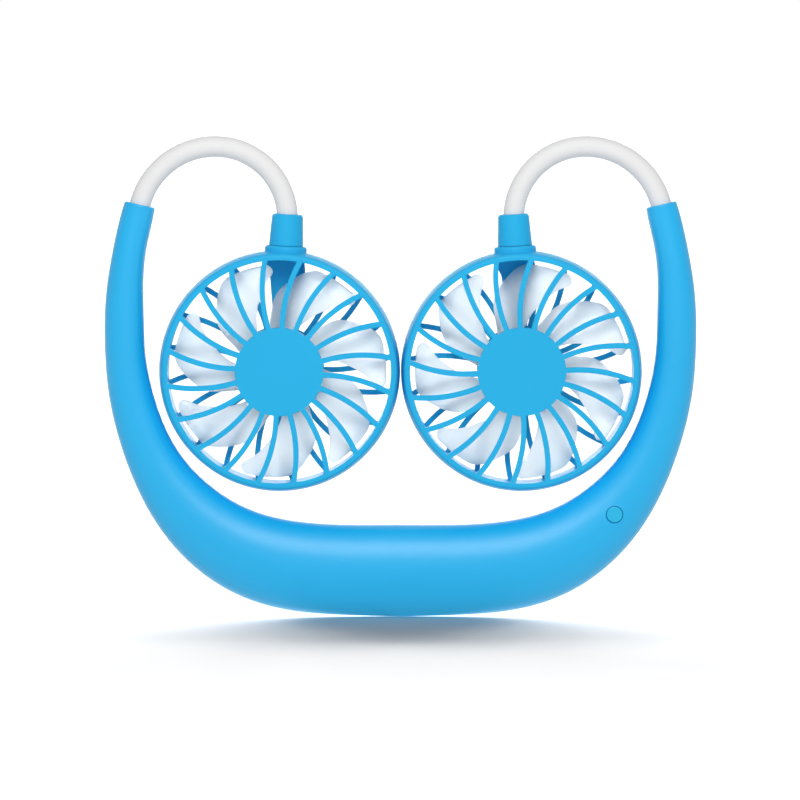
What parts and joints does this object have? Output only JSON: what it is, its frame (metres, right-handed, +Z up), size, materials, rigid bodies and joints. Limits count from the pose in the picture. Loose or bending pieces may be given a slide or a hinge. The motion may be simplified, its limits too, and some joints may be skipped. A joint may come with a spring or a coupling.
{
  "type": "electric neck fan",
  "caption": "Hands-free neck fan: a U-shaped band holds two bendable goosenecks, each with a caged fan head that swivels on a collar.",
  "frame": {"origin": "middle of the band's inner edge, on the plane where the two band shells meet", "axes": "+X across the wearer, to the right in the picture; +Y away from the viewer; +Z up"},
  "size_m": [0.2254, 0.024, 0.1831],
  "materials": {
    "blue_plastic": "satin",
    "white_silicone": "matt",
    "frosted_plastic": "frosted",
    "steel": "satin",
    "cell_wrap": "satin",
    "circuit_board": "satin",
    "dark_plastic": "matt",
    "light_plastic": "matt",
    "clear_plastic": "gloss",
    "lead_rubber": "matt",
    "magnet": "matt",
    "bronze": "satin",
    "windings": "satin"
  },
  "bodies": {
    "band": {"band_front_shell": "blue_plastic", "band_rear_shell": "blue_plastic", "band_screws": "steel", "board_screws": "steel", "battery_cell": "cell_wrap", "control_board": "circuit_board", "tact_switch": "dark_plastic", "usb_socket": "steel", "charge_light": "clear_plastic", "right_band_lead": "lead_rubber", "left_band_lead": "lead_rubber", "cell_leads": "lead_rubber", "left_core_root": "steel", "left_root_ferrule": "steel", "right_core_root": "steel", "right_root_ferrule": "steel"},
    "power_button": {"power_button": "blue_plastic", "switch_plunger": "light_plastic"},
    "left_neck": {"left_neck_sleeve": "white_silicone", "left_core_mid": "steel", "left_neck_lead": "lead_rubber"},
    "left_collar": {"left_collar": "blue_plastic", "left_core_tip": "steel", "left_tip_ferrule": "steel"},
    "left_head": {"left_front_guard": "blue_plastic", "left_rear_guard": "blue_plastic", "left_motor_can": "steel", "left_motor_end_cap": "dark_plastic", "left_motor_magnet": "magnet", "left_motor_bush": "bronze", "left_head_lead": "lead_rubber"},
    "left_impeller": {"left_impeller": "frosted_plastic", "left_motor_rotor": "windings", "left_motor_shaft": "steel"},
    "right_neck": {"right_neck_sleeve": "white_silicone", "right_core_mid": "steel", "right_neck_lead": "lead_rubber"},
    "right_collar": {"right_collar": "blue_plastic", "right_core_tip": "steel", "right_tip_ferrule": "steel"},
    "right_head": {"right_front_guard": "blue_plastic", "right_rear_guard": "blue_plastic", "right_motor_can": "steel", "right_motor_end_cap": "dark_plastic", "right_motor_magnet": "magnet", "right_motor_bush": "bronze", "right_head_lead": "lead_rubber"},
    "right_impeller": {"right_impeller": "frosted_plastic", "right_motor_rotor": "windings", "right_motor_shaft": "steel"}
  },
  "joints": [
    {"name": "left_neck_root_bend", "type": "hinge", "parent": "band", "child": "left_neck", "pos_m": [-0.09495, 0, 0.13116], "axis": [1, 0, 0], "range_deg": [-70, 70], "deforming": ["left_neck_sleeve", "left_neck_lead"]},
    {"name": "left_neck_tip_bend", "type": "hinge", "parent": "left_neck", "child": "left_collar", "pos_m": [-0.04547, 0, 0.12808], "axis": [1, 0, 0], "range_deg": [-60, 60], "deforming": ["left_neck_sleeve", "left_neck_lead"]},
    {"name": "left_head_swivel", "type": "hinge", "parent": "left_collar", "child": "left_head", "pos_m": [-0.04605, 0, 0.0588], "axis": [0.0523, 0, 0.9986], "range_deg": [-170, 170]},
    {"name": "left_impeller_spin", "type": "hinge", "parent": "left_head", "child": "left_impeller", "pos_m": [-0.04605, 0, 0.0588], "axis": [0, 1, 0], "continuous": true},
    {"name": "right_neck_root_bend", "type": "hinge", "parent": "band", "child": "right_neck", "pos_m": [0.09495, 0, 0.13116], "axis": [1, 0, 0], "range_deg": [-70, 70], "deforming": ["right_neck_sleeve", "right_neck_lead"]},
    {"name": "right_neck_tip_bend", "type": "hinge", "parent": "right_neck", "child": "right_collar", "pos_m": [0.04547, 0, 0.12808], "axis": [1, 0, 0], "range_deg": [-60, 60], "deforming": ["right_neck_sleeve", "right_neck_lead"]},
    {"name": "right_head_swivel", "type": "hinge", "parent": "right_collar", "child": "right_head", "pos_m": [0.04605, 0, 0.0588], "axis": [-0.0523, 0, 0.9986], "range_deg": [-170, 170]},
    {"name": "right_impeller_spin", "type": "hinge", "parent": "right_head", "child": "right_impeller", "pos_m": [0.04605, 0, 0.0588], "axis": [0, 1, 0], "continuous": true},
    {"name": "power_button_press", "type": "slide", "parent": "band", "child": "power_button", "axis": [0, 1, 0], "range_m": [0, 0.0005], "stiffness_N_per_m": 500}
  ]
}
